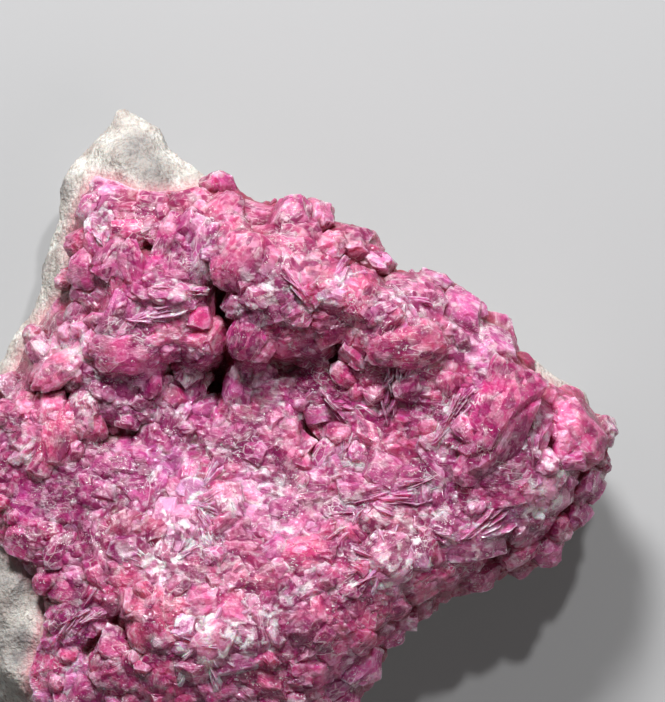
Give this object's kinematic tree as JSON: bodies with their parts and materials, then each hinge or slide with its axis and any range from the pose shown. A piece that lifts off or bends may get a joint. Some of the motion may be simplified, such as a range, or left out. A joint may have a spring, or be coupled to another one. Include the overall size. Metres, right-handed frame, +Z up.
{
  "type": "cobaltoan calcite specimen",
  "caption": "Druse of magenta-pink translucent calcite crystals grown together on a white and grey carbonate matrix, lying on the matrix's flat back; a display mineral specimen",
  "frame": {"origin": "centre of the bounding box in plan, on the flat back that the specimen lies on", "axes": "+Z up from the flat back to the crystals, +X along the specimen's longest side towards its pointed right tip, +Y towards the bare rock apex"},
  "size_m": [0.0678, 0.066, 0.025],
  "materials": {
    "carbonate_rock": "rough broken white to grey carbonate rock",
    "pink_calcite": "translucent magenta-pink calcite with glassy faces and frosted edges"
  },
  "bodies": {
    "root": {"matrix": "carbonate_rock", "calcite_crust": "pink_calcite"}
  },
  "joints": []
}
